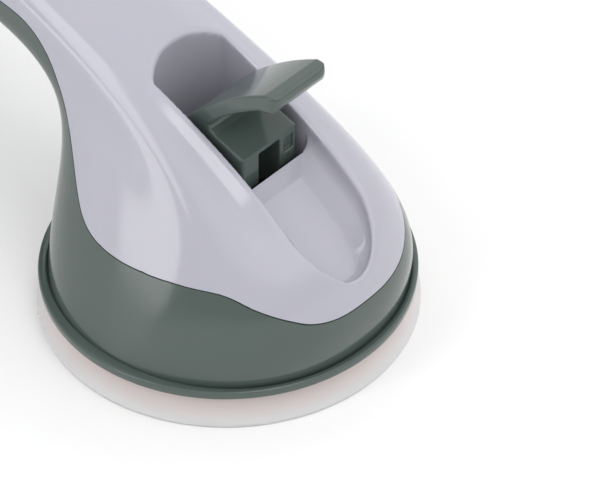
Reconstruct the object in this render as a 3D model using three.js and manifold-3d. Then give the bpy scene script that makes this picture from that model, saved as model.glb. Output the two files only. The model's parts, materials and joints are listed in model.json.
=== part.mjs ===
// Suction grab bar: a plastic hand grip between two round suction housings, each with a cam lever.
// Millimetres, +Z up from the wall, X along the grip, Y across it. Z = 0 is the plane the cups press on.
// One end is designed in end coordinates, with x measured outwards from the cup axis and z from the
// flange; placeAt() puts it at both ends, so the two ends are mirror images of each other.
import * as THREE from "three";
import { mergeVertices } from "three/addons/utils/BufferGeometryUtils.js";
import Module from "manifold-3d";

// ---------- driving dimensions ----------
const CUP_SPACING = 200;      // between the two cup axes
const FLANGE_Z = 9;           // the flange's underside above the wall
const GAP = 0.3;              // clearance between neighbouring pieces
const WALL = 2.6;             // shell thickness
const BELL_RADIUS = 47.4;     // housing at the flange
const FLANGE_RADIUS = 50;
const FLANGE_INNER = 43.5;
const FLANGE_THICK = 2.4;
const CUP_RADIUS = 51;
const NECK_X = -72;           // where the housing has become the grip
const GRIP_HALF_WIDTH = 19.8;
const POCKET_HALF = 12.7;     // half width of the pocket, and radius of its outer end
const POCKET_INNER_X = -17.8;
const POCKET_OUTER_X = 44.8;
const POCKET_INNER_ROUND = 17.65;  // radius of the shallow arc that closes its inner end
const WELL_FLOOR_Z = 28;      // deep inner part of the pocket
const WELL_FRONT_X = 17;      // where the shallow thumb relief begins
const TUB_WALL = 2;
const WEAR_THICK = 2;
const PIVOT = { x: -2, z: 43.5 };
const PIN_RADIUS = 2;
const LEVER_WIDTH = 20.6;
const LEVER_ANGLE = 70;       // degrees the lever swings from raised to shut
const LIFT = 4;               // rise of the pull post over that swing
const STEM_HALF = 3.5;        // pull post stem, square
const DISC_RADIUS = 30;
const DISC_BOTTOM_Z = 5;      // above the wall
const DISC_THICK = 3;
const SCREW_RADIUS = 1.4;
const SCREW_HEAD_RADIUS = 3;
const MID = CUP_SPACING / 2;
const rad = THREE.MathUtils.degToRad;

// ---------- solids ----------
const wasm = await Module();
wasm.setup();

function toSolid(geometry) {
  const plain = geometry.index ? geometry.toNonIndexed() : geometry.clone();
  plain.deleteAttribute("normal");
  plain.deleteAttribute("uv");
  const merged = mergeVertices(plain, 1e-3);
  const vertProperties = new Float32Array(merged.attributes.position.array);
  const triVerts = new Uint32Array(merged.index.array);
  const solid = new wasm.Manifold(new wasm.Mesh({ numProp: 3, vertProperties, triVerts }));
  if (solid.volume() > 0) return solid;
  for (let i = 0; i < triVerts.length; i += 3) {
    [triVerts[i + 1], triVerts[i + 2]] = [triVerts[i + 2], triVerts[i + 1]];
  }
  return new wasm.Manifold(new wasm.Mesh({ numProp: 3, vertProperties, triVerts }));
}

function toGeometry(solid) {
  const mesh = solid.getMesh();
  const geometry = new THREE.BufferGeometry();
  const points = new Float32Array(mesh.numVert * 3);
  for (let i = 0; i < mesh.numVert; i += 1) {
    for (let k = 0; k < 3; k += 1) points[i * 3 + k] = mesh.vertProperties[i * mesh.numProp + k];
  }
  geometry.setAttribute("position", new THREE.BufferAttribute(points, 3));
  geometry.setIndex(new THREE.BufferAttribute(new Uint32Array(mesh.triVerts), 1));
  const flat = geometry.toNonIndexed();
  flat.computeVertexNormals();
  return flat;
}

const union = (...solids) => solids.reduce((sum, next) => sum.add(next));

// A box from its two corners.
function box(low, high) {
  const geometry = new THREE.BoxGeometry(high[0] - low[0], high[1] - low[1], high[2] - low[2]);
  geometry.translate((high[0] + low[0]) / 2, (high[1] + low[1]) / 2, (high[2] + low[2]) / 2);
  return toSolid(geometry);
}

// A solid of revolution about Z through (x, y), from [radius, z] points that start and end on the axis
// or close on themselves.
function turned(profile, x = 0, y = 0, segments = 32) {
  const points = profile.map(([r, z]) => new THREE.Vector2(r, z));
  const geometry = new THREE.LatheGeometry(points, segments);
  geometry.rotateX(Math.PI / 2);
  geometry.translate(x, y, 0);
  return toSolid(geometry);
}

const rod = (radius, z0, z1, x = 0, y = 0, segments = 20) =>
  turned([[0, z0], [radius, z0], [radius, z1], [0, z1]], x, y, segments);

// An outline in the XZ plane carried from -half to +half along Y.
function acrossY(points, half, offset = 0) {
  const shape = new THREE.Shape(points.map(([x, z]) => new THREE.Vector2(x, z)));
  const geometry = new THREE.ExtrudeGeometry(shape, { depth: 2 * half, bevelEnabled: false });
  geometry.rotateX(Math.PI / 2);
  geometry.translate(0, half + offset, 0);
  return toSolid(geometry);
}

// A round bar along Y, centred on y = 0.
function pinY(radius, half, x, z, chamfer = 0, segments = 24) {
  const profile = [[0, -half], [radius - chamfer, -half], [radius, -half + chamfer],
    [radius, half - chamfer], [radius - chamfer, half], [0, half]];
  const points = profile.map(([r, y]) => new THREE.Vector2(Math.max(r, 0), y));
  const geometry = new THREE.LatheGeometry(points, segments);
  geometry.translate(x, 0, z);
  return toSolid(geometry);
}

// Rings of equally many points skinned into one closed solid, with flat ends.
function ringSolid(rings) {
  const size = rings[0].length;
  const faces = [];
  for (let i = 0; i + 1 < rings.length; i += 1) {
    for (let j = 0; j < size; j += 1) {
      const a = i * size + j;
      const b = i * size + ((j + 1) % size);
      faces.push(a, b, b + size, a, b + size, a + size);
    }
  }
  const last = (rings.length - 1) * size;
  for (let j = 1; j + 1 < size; j += 1) {
    faces.push(0, j + 1, j);
    faces.push(last, last + j, last + j + 1);
  }
  const geometry = new THREE.BufferGeometry();
  geometry.setAttribute("position", new THREE.BufferAttribute(new Float32Array(rings.flat(2)), 3));
  geometry.setIndex(faces);
  return toSolid(geometry);
}

// ---------- the housing surface ----------
// Every cross-section lies in a plane that holds the Y direction. It runs from a point on the underside
// curve to a point on the crown curve and is a superellipse in between.
const bezier = (p, t) =>
  (1 - t) ** 3 * p[0] + 3 * t * (1 - t) ** 2 * p[1] + 3 * t * t * (1 - t) * p[2] + t ** 3 * p[3];
const CROWN_X = [BELL_RADIUS, 50, 51.8, NECK_X];
const CROWN_Z = [0, 23, 49.2, 83.8];
const UNDER_X = [-BELL_RADIUS, -43, -33.4, NECK_X];
const UNDER_Z = [0, 30, 57, 56.8];
const HALF_WIDTH = [BELL_RADIUS, 35.6, GRIP_HALF_WIDTH, GRIP_HALF_WIDTH];
const ROUND = 2;              // superellipse exponent at the flange
const SQUARISH = 3.4;         // and along the grip

// The grip arches on from the neck at the slope the curve has there and is level at mid span.
const archRise = (xs, zs) => ((zs[3] - zs[2]) / (xs[2] - xs[3])) * (MID + NECK_X) / 2;

// Section number s: 0 at the flange, 1 at the neck, 2 at mid grip.
function section(s, inset) {
  const t = Math.min(s, 1);
  const u = Math.max(s - 1, 0);
  const ease = 2 * u - u * u;
  const x = (points) => bezier(points, t) + (-MID - NECK_X) * u;
  const crown = [x(CROWN_X), bezier(CROWN_Z, t) + archRise(CROWN_X, CROWN_Z) * ease];
  const under = [x(UNDER_X), bezier(UNDER_Z, t) + archRise(UNDER_X, UNDER_Z) * ease];
  const middle = [(crown[0] + under[0]) / 2, (crown[1] + under[1]) / 2];
  const reach = [(crown[0] - under[0]) / 2, (crown[1] - under[1]) / 2];
  const length = Math.hypot(reach[0], reach[1]);
  const shrink = (length - inset) / length;
  return {
    middle,
    reach: [reach[0] * shrink, reach[1] * shrink],
    half: bezier(HALF_WIDTH, t) - inset,
    power: ROUND + (SQUARISH - ROUND) * (2 * t - t * t),
  };
}

// The whole outer body, or with an inset the space inside its wall. drop carries the ends below the
// flange plane, so that the inner body cuts right through.
const RING = 28;              // points round a section
const END_STEPS = 14;         // sections from flange to neck
const GRIP_STEPS = 2;         // and on to mid grip
function bodySolid(inset, drop) {
  const steps = [];
  for (let i = 0; i <= END_STEPS; i += 1) steps.push(i / END_STEPS);
  for (let i = 1; i <= GRIP_STEPS; i += 1) steps.push(1 + i / GRIP_STEPS);
  const rings = steps.map((s) => {
    const { middle, reach, half, power } = section(s, inset);
    return Array.from({ length: RING }, (_, j) => {
      const angle = (j / RING) * 2 * Math.PI;
      const c = Math.cos(angle);
      const d = Math.sin(angle);
      const k = (Math.abs(c) ** power + Math.abs(d) ** power) ** (-1 / power);
      return [MID + middle[0] + reach[0] * c * k, half * d * k, FLANGE_Z + middle[1] + reach[1] * c * k];
    });
  });
  if (drop > 0) rings.unshift(rings[0].map(([x, y, z]) => [x, y, z - drop]));
  const mirrored = rings.slice(0, -1).reverse().map((ring) => ring.map(([x, y, z]) => [-x, y, z]));
  return ringSolid([...rings, ...mirrored]);
}

// Side view of the parting line, from the outer end inwards to mid grip.
const SEAM = [[60, 13], [52, 14], [48.5, 16.1], [45, 18.9], [41, 22], [35, 24.9], [27, 27.3], [16, 26.2],
  [6, 24.8], [-4, 24.1], [-13, 25], [-19, 27.6], [-24, 32.8], [-30, 41.9], [-36, 52.5], [-42, 61],
  [-49, 66.4], [-58, 68.6], [-76, 70.4], [-MID, 71]];
const SEAM_STEPS = 40;

function seamPoints(shift) {
  const curve = new THREE.SplineCurve(SEAM.map(([x, z]) => new THREE.Vector2(x, z)));
  const end = curve.getPoints(SEAM_STEPS);
  const right = end.map((p) => [MID + p.x, FLANGE_Z + p.y + shift]);
  const left = right.slice(0, -1).reverse().map(([x, z]) => [-x, z]);
  return [...right, ...left];
}

const ABOVE = 130;
const BELOW = -20;
function sideOfSeam(shift, limit) {
  const line = seamPoints(shift);
  const outer = line[0][0];
  return acrossY([[outer, limit], ...line, [-outer, limit]], 70);
}

// ---------- end features, in end coordinates ----------
const endSolid = (solid) => solid.translate([MID, 0, FLANGE_Z]);
const mirrorX = (solid) => solid.mirror([1, 0, 0]);
const bothEnds = (solid) => union(endSolid(solid), mirrorX(endSolid(solid)));

// Plan of the pocket, as a tall block: straight sides, a round outer end and a shallow arc inside.
const TALL = 100;
function pocketPlan(grow) {
  const half = POCKET_HALF + grow;
  const round = POCKET_INNER_ROUND + grow;
  const spread = Math.asin(half / round);
  const shape = new THREE.Shape();
  shape.absarc(POCKET_OUTER_X - POCKET_HALF, 0, half, -Math.PI / 2, Math.PI / 2, false);
  shape.absarc(POCKET_INNER_X + POCKET_INNER_ROUND, 0, round, Math.PI - spread, Math.PI + spread, false);
  const geometry = new THREE.ExtrudeGeometry(shape, { depth: TALL, bevelEnabled: false, curveSegments: 12 });
  return toSolid(geometry);
}

// Thumb relief: a flat sloping pad with a round outer end, and sides that rise from it all round.
const PAD = { innerX: 19.3, innerZ: 37.6, outerX: 42.1, half: 7.2, slope: 0.705, rise: 1.05 };
const PAD_INNER_SPREAD = 0.65;                // the side next to the well is steeper than the others
const PAD_STEPS = 14;
const PAD_SPREAD = 8;
function reliefSpace(lower) {
  const centre = PAD.outerX - PAD.half;
  const ring = (grow, raise) => {
    const radius = PAD.half + grow;
    const inner = PAD.innerX - PAD_INNER_SPREAD * grow;
    const points = [[inner, -radius]];
    for (let i = 0; i <= PAD_STEPS; i += 1) {
      const angle = (i / PAD_STEPS - 0.5) * Math.PI;
      points.push([centre + radius * Math.cos(angle), radius * Math.sin(angle)]);
    }
    points.push([inner, radius]);
    return points.map(([x, y]) => [x, y, PAD.innerZ - PAD.slope * (x - PAD.innerX) + raise - lower]);
  };
  const top = PAD_SPREAD * PAD.rise;
  return ringSolid([ring(0, 0), ring(PAD_SPREAD, top), ring(PAD_SPREAD, top + TALL)]);
}

// The deep well that the lever block works in.
const wellSpace = (lower) => box([POCKET_INNER_X - 20, -POCKET_HALF - 20, WELL_FLOOR_Z - lower],
  [WELL_FRONT_X + lower, POCKET_HALF + 20, TALL]);

const SIDE_SLOPE = 1.4;       // a wall at 45 degrees is this much thicker when measured upright
const pocketCavity = () => pocketPlan(0).intersect(union(wellSpace(0), reliefSpace(0)));
const pocketTub = () => pocketPlan(TUB_WALL)
  .intersect(union(wellSpace(TUB_WALL), reliefSpace(TUB_WALL * SIDE_SLOPE)));
const STEM_HOLE = STEM_HALF + 0.7;
const stemHole = () => box([-STEM_HOLE, -STEM_HOLE, WELL_FLOOR_Z - 5],
  [STEM_HOLE, STEM_HOLE, WELL_FLOOR_Z + 5]);

// Screw seats inside each bell: a lug on the lower shell and a boss on the upper shell.
const LUG = { x: 10, y: 28.5, z0: 17, z1: 20, half: 5, inner: 25, outer: 46 };
const BOSS_RADIUS = 4;
const HOLE_RADIUS = SCREW_RADIUS + GAP;
const SCREW_DEPTH = 10;
const bellScrewSides = [-1, 1];
const lugAt = (side) => box([LUG.x - LUG.half, Math.min(side * LUG.inner, side * LUG.outer), LUG.z0],
  [LUG.x + LUG.half, Math.max(side * LUG.inner, side * LUG.outer), LUG.z1]);
const bossAt = (side) => rod(BOSS_RADIUS, LUG.z1 + GAP, TALL, LUG.x, side * LUG.y);
const bellHole = (side) => rod(HOLE_RADIUS, 0, LUG.z1 + SCREW_DEPTH + 1, LUG.x, side * LUG.y, 16);

// Screw seats along the grip, on the centre line.
const GRIP_SCREW_X = 26;      // from mid grip
const GRIP_SEAT = { z0: FLANGE_Z + 54, top: FLANGE_Z + 65.5, counter: FLANGE_Z + 61.5, radius: 4.8 };
const gripSeat = (x) => rod(GRIP_SEAT.radius, GRIP_SEAT.z0, GRIP_SEAT.top, x, 0);
const gripBoss = (x) => rod(BOSS_RADIUS, GRIP_SEAT.top + GAP, TALL, x, 0);
const gripHole = (x) => union(
  rod(HOLE_RADIUS, GRIP_SEAT.z0 - 5, GRIP_SEAT.top + SCREW_DEPTH + 1, x, 0, 16),
  rod(SCREW_HEAD_RADIUS + GAP, GRIP_SEAT.z0 - 5, GRIP_SEAT.counter, x, 0));
const gripXs = [-GRIP_SCREW_X, GRIP_SCREW_X];

// ---------- shells ----------
const outer = bodySolid(0, 0);
const inner = bodySolid(WALL, 6);
const hollow = outer.subtract(inner);

// Where upper-shell features may be: above the parting line, or inside clear of the lower shell's wall.
const clearOfLower = union(sideOfSeam(GAP, ABOVE), bodySolid(WALL + GAP, 6));

function upperShell() {
  const skin = hollow.intersect(sideOfSeam(GAP, ABOVE));
  const tubs = bothEnds(pocketTub()).intersect(outer).intersect(clearOfLower);
  const bosses = union(...bellScrewSides.map((side) => bothEnds(bossAt(side))), ...gripXs.map(gripBoss));
  const holes = union(...bellScrewSides.map((side) => bothEnds(bellHole(side))), ...gripXs.map(gripHole));
  return skin
    .add(tubs)
    .add(bosses.intersect(outer).subtract(holes))
    .subtract(bothEnds(pocketCavity()))
    .subtract(bothEnds(stemHole()));
}

const FLANGE_EDGE = 0.9;      // chamfer round the rim
function flangeRing() {
  const top = FLANGE_THICK;
  const rim = FLANGE_RADIUS - FLANGE_EDGE;
  return turned([[FLANGE_INNER, 0], [rim, 0], [FLANGE_RADIUS, FLANGE_EDGE],
    [FLANGE_RADIUS, top - FLANGE_EDGE], [rim, top], [FLANGE_INNER, top], [FLANGE_INNER, 0]], 0, 0, 48);
}

function lowerShell() {
  const skin = hollow.intersect(sideOfSeam(-GAP, BELOW));
  const lugs = union(...bellScrewSides.map((side) => bothEnds(lugAt(side)))).intersect(outer);
  const seats = union(...gripXs.map(gripSeat)).intersect(outer);
  const holes = union(...bellScrewSides.map((side) => bothEnds(bellHole(side))), ...gripXs.map(gripHole));
  return union(skin, bothEnds(flangeRing()), lugs, seats).subtract(holes);
}

// ---------- lever ----------
// Side view in end coordinates, raised. The plate arches over the block, and the block's underside is a
// spiral cam about the pin, so that swinging the lever down lifts the pin at an even rate.
const CAM_CLEAR = 0.65;       // keeps the spiral's lowest point just off the wear plate
const WEAR_TOP_Z = WELL_FLOOR_Z + WEAR_THICK;
const CAM_START = PIVOT.z - WEAR_TOP_Z;
const aroundPivot = (degrees, radius) =>
  [PIVOT.x + radius * Math.cos(rad(degrees)), PIVOT.z + radius * Math.sin(rad(degrees))];
const camRadius = (degrees) => CAM_START - CAM_CLEAR + (LIFT * (degrees + 90)) / LEVER_ANGLE;

const HEEL = { x: -5.5, z: 53.2 };
const TIP = { x: 24.9, z: 77.5 };
const TIP_FACE = { x: 25.7, top: 75.6, bottom: 71.3 };
const PLATE_THICK = 4.2;
const PLATE_ARCH = 2.2;
const BLOCK = { frontX: 15, topInnerX: 5.5, topInnerZ: 54, topFrontZ: 51 };
const CAM_FRONT = [[-10, 17.2]];                                    // degrees about the pivot, radius
const CAM_BACK = [[-120, 11], [-150, 8], [180, 6.8], [150, 7.6]];   // relieved behind the cam

// A point of the plate: along runs 0 at the heel to 1 at the tip, depth is measured down from the top.
function platePoint(along, depth) {
  const run = [TIP.x - HEEL.x, TIP.z - HEEL.z];
  const length = Math.hypot(run[0], run[1]);
  const normal = [run[1] / length, -run[0] / length];
  const lift = -4 * PLATE_ARCH * along * (1 - along) + depth;
  return [HEEL.x + run[0] * along + normal[0] * lift, HEEL.z + run[1] * along + normal[1] * lift];
}

const PLATE_STEPS = 10;
const FRONT_BEVEL = 0.5;
function leverOutline() {
  const points = [];
  for (let i = 0; i < PLATE_STEPS; i += 1) points.push(platePoint(i / PLATE_STEPS, 0));
  points.push(platePoint(0.97, 0), [TIP_FACE.x, TIP_FACE.top], [TIP_FACE.x - 0.5, TIP_FACE.bottom]);
  for (let i = PLATE_STEPS - 2; i >= 4; i -= 1) points.push(platePoint(i / PLATE_STEPS, PLATE_THICK));
  points.push([BLOCK.topInnerX - 1.2, BLOCK.topInnerZ + 1.4], [BLOCK.topInnerX, BLOCK.topInnerZ]);
  points.push([BLOCK.frontX - FRONT_BEVEL, BLOCK.topFrontZ], [BLOCK.frontX, BLOCK.topFrontZ - FRONT_BEVEL]);
  points.push(...CAM_FRONT.map(([degrees, radius]) => aroundPivot(degrees, radius)));
  for (let angle = -20; angle >= -95; angle -= 7.5) points.push(aroundPivot(angle, camRadius(angle)));
  points.push(...CAM_BACK.map(([degrees, radius]) => aroundPivot(degrees, radius)));
  return points;
}

// Plan view of what is cut from one corner of the tip.
const TIP_CORNER = 3;
function tipCorner(side) {
  const half = LEVER_WIDTH / 2;
  const end = TIP_FACE.x;
  const outline = [[end + 8, half - TIP_CORNER], [end + 8, half + 4], [end - TIP_CORNER, half + 4],
    [end - TIP_CORNER, half], [end - TIP_CORNER / 3, half - TIP_CORNER / 3], [end, half - TIP_CORNER]];
  const shape = new THREE.Shape(outline.map(([x, y]) => new THREE.Vector2(x, side * y)));
  const geometry = new THREE.ExtrudeGeometry(shape, { depth: 40, bevelEnabled: false });
  geometry.translate(0, 0, TIP_FACE.bottom - 10);
  return toSolid(geometry);
}

const SLOT_HALF = STEM_HALF + 0.4;
const SLOT_TOP = PIVOT.z + 6;
const PANEL = { depth: 1, rib: 1.6, end: 5, top: 1, bottom: 5.5 };
function lever() {
  const blank = acrossY(leverOutline(), LEVER_WIDTH / 2);
  const slot = box([-30, -SLOT_HALF, 10], [30, SLOT_HALF, SLOT_TOP]);
  const panel = box([BLOCK.frontX - PANEL.depth, SLOT_HALF + PANEL.rib, SLOT_TOP - PANEL.bottom],
    [30, SLOT_HALF + PANEL.end, SLOT_TOP - PANEL.top]);
  const bore = pinY(PIN_RADIUS + GAP, LEVER_WIDTH, PIVOT.x, PIVOT.z);
  return blank.subtract(slot).subtract(panel).subtract(bore).subtract(union(tipCorner(1), tipCorner(-1)));
}

// ---------- pull post, disc, wear plate, spring, cup, screws ----------
const STEM_BOTTOM_Z = DISC_BOTTOM_Z + DISC_THICK + GAP - FLANGE_Z;
const SPIGOT_RADIUS = 3;
const EYE_RADIUS = 5.4;
const FOOT_THICK = 1.6;
function pullPost() {
  const eye = pinY(EYE_RADIUS, STEM_HALF, PIVOT.x, PIVOT.z);
  const stem = box([-STEM_HALF, -STEM_HALF, STEM_BOTTOM_Z], [STEM_HALF, STEM_HALF, PIVOT.z]);
  const foot = rod(STEM_HALF + 3, STEM_BOTTOM_Z, STEM_BOTTOM_Z + FOOT_THICK);
  const spigot = rod(SPIGOT_RADIUS, STEM_BOTTOM_Z - DISC_THICK, STEM_BOTTOM_Z + 1);
  const bore = pinY(PIN_RADIUS + GAP, 10, PIVOT.x, PIVOT.z);
  return union(eye, stem, foot, spigot).subtract(bore);
}

const PIN_RECESS = 0.6;       // each end stops short of the lever's side
const PIN_CHAMFER = 0.4;
const leverPin = () => pinY(PIN_RADIUS, LEVER_WIDTH / 2 - PIN_RECESS, PIVOT.x, PIVOT.z, PIN_CHAMFER);

const DISC_EDGE = 0.8;
function backingDisc() {
  const z0 = DISC_BOTTOM_Z - FLANGE_Z;
  const z1 = z0 + DISC_THICK;
  const bore = SPIGOT_RADIUS + GAP;
  return turned([[bore, z0], [DISC_RADIUS - DISC_EDGE, z0], [DISC_RADIUS, z0 + DISC_EDGE],
    [DISC_RADIUS, z1 - DISC_EDGE], [DISC_RADIUS - DISC_EDGE, z1], [bore, z1], [bore, z0]], 0, 0, 32);
}

const WEAR = { x0: -12, x1: 10, half: 10.5 };
function wearPlate() {
  const z0 = WELL_FLOOR_Z + GAP;
  const plate = box([WEAR.x0, -WEAR.half, z0], [WEAR.x1, WEAR.half, WEAR_TOP_Z]);
  return plate.subtract(box([-STEM_HOLE, -STEM_HOLE, z0 - 1], [STEM_HOLE, STEM_HOLE, z0 + 5]));
}

// A helical spring with flat tube ends, between the disc and the underside of the pocket floor.
const SPRING = { radius: 9, wire: 0.7, turns: 5, sides: 5, perTurn: 10 };
function returnSpring() {
  const z0 = STEM_BOTTOM_Z + 0.2 + SPRING.wire;
  const z1 = WELL_FLOOR_Z - TUB_WALL - GAP - SPRING.wire;
  const count = SPRING.turns * SPRING.perTurn;
  const rings = Array.from({ length: count + 1 }, (_, i) => {
    const turn = (i / SPRING.perTurn) * 2 * Math.PI;
    const z = z0 + ((z1 - z0) * i) / count;
    return Array.from({ length: SPRING.sides }, (__, j) => {
      const angle = (j / SPRING.sides) * 2 * Math.PI;
      const r = SPRING.radius + SPRING.wire * Math.cos(angle);
      return [r * Math.cos(turn), r * Math.sin(turn), z + SPRING.wire * Math.sin(angle)];
    });
  });
  return ringSolid(rings);
}

// Soft cup: a flat lip on the wall, a flared skirt up to the flange and a membrane below the disc.
const CUP_TOP_Z = FLANGE_Z - GAP;
const LIP_INNER = 43;
function suctionCup() {
  const drop = ([r, z]) => [r, z - FLANGE_Z];
  const profile = [[0, 1.6], [32, 1.6], [LIP_INNER, 0], [CUP_RADIUS - 0.5, 0], [CUP_RADIUS, 0.5],
    [CUP_RADIUS - 0.1, 1.2], [49.6, 3.2], [48.6, 5.8], [48.2, CUP_TOP_Z], [44.6, CUP_TOP_Z], [44, 7],
    [41, 4.6], [34, DISC_BOTTOM_Z - GAP], [0, DISC_BOTTOM_Z - GAP]];
  return turned(profile.map(drop), 0, 0, 48);
}

// A screw pointing up, its head's underside at z.
const HEAD_HEIGHT = 2;
const DRIVE = { half: 2, width: 0.8, depth: 0.8 };
function screw(x, y, z, length) {
  const head = rod(SCREW_HEAD_RADIUS, z - HEAD_HEIGHT, z, x, y);
  const shank = rod(SCREW_RADIUS, z - HEAD_HEIGHT / 2, z + length, x, y, 14);
  const below = z - HEAD_HEIGHT - 1;
  const slot = box([x - DRIVE.half, y - DRIVE.width / 2, below],
    [x + DRIVE.half, y + DRIVE.width / 2, z - HEAD_HEIGHT + DRIVE.depth]);
  return head.add(shank).subtract(slot);
}

// ---------- assembly ----------
const COLOURS = {
  shell: 0xc4c4ce,
  green: 0x5f6b67,
  cup: 0xd6cfcf,
  steel: 0x9a9c9e,
  nylon: 0xdedcd2,
};
const material = (name) => new THREE.MeshStandardMaterial({ color: COLOURS[name], name });
const part = new THREE.Group();

function place(name, solid, finish) {
  const mesh = new THREE.Mesh(toGeometry(solid), material(finish));
  mesh.name = name;
  part.add(mesh);
}

// The same piece at the +X end (a) and, mirrored, at the -X end (b).
function placeAt(name, solid, finish) {
  place(`${name}_a`, endSolid(solid), finish);
  place(`${name}_b`, mirrorX(endSolid(solid)), finish);
}

place("upper_shell", upperShell(), "shell");
place("lower_shell", lowerShell(), "green");
placeAt("lever", lever(), "green");
placeAt("lever_pin", leverPin(), "steel");
placeAt("pull_post", pullPost(), "nylon");
placeAt("backing_disc", backingDisc(), "nylon");
placeAt("wear_plate", wearPlate(), "steel");
placeAt("return_spring", returnSpring(), "steel");
placeAt("suction_cup", suctionCup(), "cup");
bellScrewSides.forEach((side) => {
  const name = side > 0 ? "bell_screw_left" : "bell_screw_right";
  placeAt(name, screw(LUG.x, side * LUG.y, LUG.z0 - GAP, LUG.z1 - LUG.z0 + SCREW_DEPTH), "steel");
});
place("grip_screw_a", screw(GRIP_SCREW_X, 0, GRIP_SEAT.counter - GAP, SCREW_DEPTH + 3), "steel");
place("grip_screw_b", screw(-GRIP_SCREW_X, 0, GRIP_SEAT.counter - GAP, SCREW_DEPTH + 3), "steel");

export default part;
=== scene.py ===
"""Looks for the suction grab bar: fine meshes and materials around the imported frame.

Shapes with blended edges are written as distance fields in millimetres and meshed by mesh_of().
One end is described in end coordinates: x outwards from the cup axis, z up from the flange.
"""

import json
import math

import bmesh
import bpy
import numpy as np
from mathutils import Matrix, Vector


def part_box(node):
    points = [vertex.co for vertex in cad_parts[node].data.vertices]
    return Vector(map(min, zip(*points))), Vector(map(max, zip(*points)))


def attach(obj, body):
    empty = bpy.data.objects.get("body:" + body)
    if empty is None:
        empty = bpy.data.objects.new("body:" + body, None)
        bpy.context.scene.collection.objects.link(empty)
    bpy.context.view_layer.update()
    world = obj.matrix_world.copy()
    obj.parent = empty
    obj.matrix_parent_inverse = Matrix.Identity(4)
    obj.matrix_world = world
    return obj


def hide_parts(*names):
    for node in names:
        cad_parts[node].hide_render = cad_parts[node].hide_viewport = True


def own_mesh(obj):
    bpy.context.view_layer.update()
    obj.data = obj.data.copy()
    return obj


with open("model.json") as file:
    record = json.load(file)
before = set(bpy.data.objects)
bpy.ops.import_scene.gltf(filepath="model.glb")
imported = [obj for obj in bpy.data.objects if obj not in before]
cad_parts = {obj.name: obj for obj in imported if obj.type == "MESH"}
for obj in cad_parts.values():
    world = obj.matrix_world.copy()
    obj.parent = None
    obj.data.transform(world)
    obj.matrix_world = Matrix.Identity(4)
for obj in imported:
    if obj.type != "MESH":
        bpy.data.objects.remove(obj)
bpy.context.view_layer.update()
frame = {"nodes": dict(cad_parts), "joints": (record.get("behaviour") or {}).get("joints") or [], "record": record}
MM = 0.001
LETTER = {1: "a", -1: "b"}                    # the ends at +X and -X

# ---------- dimensions taken from the frame ----------
JOINTS = {j["name"]: j for j in frame["joints"]}


def size_mm(node):
    """(lowest, highest) corner of a CAD node in millimetres."""
    low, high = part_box(node)
    return np.array(low) / MM, np.array(high) / MM


CUP_LOW, CUP_HIGH = size_mm("suction_cup_a")
MID = (CUP_LOW[0] + CUP_HIGH[0]) / 2          # cup axis from mid grip
CUP_RADIUS = (CUP_HIGH[0] - CUP_LOW[0]) / 2
SHELL_LOW, SHELL_HIGH = size_mm("lower_shell")
FLANGE_Z = SHELL_LOW[2]
FLANGE_RADIUS = SHELL_HIGH[0] - MID
LEVER_LOW, LEVER_HIGH = size_mm("lever_a")
LEVER_HALF = LEVER_HIGH[1]
PIVOT_X = JOINTS["lever_swing_a"]["pos_m"][0] / MM - MID
PIVOT_Z = JOINTS["lever_swing_a"]["pos_m"][2] / MM - FLANGE_Z
LEVER_ANGLE = JOINTS["lever_swing_a"]["range_deg"][1]
LIFT = 4.0                                    # how far the lever raises the post

# ---------- dimensions of the housing, as in the part ----------
WALL = 2.6
SEAM_GAP = 0.16
BELL_RADIUS = 47.4
FLANGE_INNER = 43.5
FLANGE_THICK = 2.4
NECK_X = -72.0
GRIP_HALF_WIDTH = 19.8
POCKET_HALF = 12.7
POCKET_INNER_X = -17.8
POCKET_OUTER_X = 44.8
POCKET_INNER_ROUND = 17.65
WELL_FLOOR_Z = 28.0
WELL_FRONT_X = 17.0
TUB_WALL = 2.0
SIDE_SLOPE = 1.4
STEM_HALF = 3.5
PIN_RADIUS = 2.0
# Bezier points from the bell's rim to the neck: the crown line, the underside line and the half width.
CROWN_X = (BELL_RADIUS, 50.0, 51.8, NECK_X)
CROWN_Z = (0.0, 23.0, 49.2, 83.8)
UNDER_X = (-BELL_RADIUS, -43.0, -33.4, NECK_X)
UNDER_Z = (0.0, 30.0, 57.0, 56.8)
HALF_WIDTH = (BELL_RADIUS, 35.6, GRIP_HALF_WIDTH, GRIP_HALF_WIDTH)
ROUND = 2.0                                   # power of the cross-section at the bell's rim
SQUARISH = 3.4                                # and in the grip
# Parting line from beyond the bell's outer end to mid grip.
SEAM = ((60, 13), (52, 14), (48.5, 16.1), (45, 18.9), (41, 22), (35, 24.9), (27, 27.3), (16, 26.2),
        (6, 24.8), (-4, 24.1), (-13, 25), (-19, 27.6), (-24, 32.8), (-30, 41.9), (-36, 52.5), (-42, 61),
        (-49, 66.4), (-58, 68.6), (-76, 70.4), (-100, 71))


# ---------- small field tools: distances are negative inside ----------
def soft_max(a, b, k):
    """Larger of two fields with the crease rounded over a width k."""
    h = np.clip(0.5 + 0.5 * (a - b) / k, 0, 1)
    return b + (a - b) * h + k * h * (1 - h)


def soft_min(a, b, k):
    return -soft_max(-a, -b, k)


def bezier(p, t):
    return (1 - t) ** 3 * p[0] + 3 * t * (1 - t) ** 2 * p[1] + 3 * t * t * (1 - t) * p[2] + t ** 3 * p[3]


def arch_rise(xs, zs):
    """How far the grip still rises from the neck to mid span."""
    return (zs[3] - zs[2]) / (xs[2] - xs[3]) * (MID + NECK_X) / 2


def cross_line(x, z, t):
    """Which side of cross-section t's line a point lies on."""
    under_x, under_z = bezier(UNDER_X, t), bezier(UNDER_Z, t)
    run_x, run_z = bezier(CROWN_X, t) - under_x, bezier(CROWN_Z, t) - under_z
    return (run_x * (z - under_z) - run_z * (x - under_x)) / np.hypot(run_x, run_z)


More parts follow.
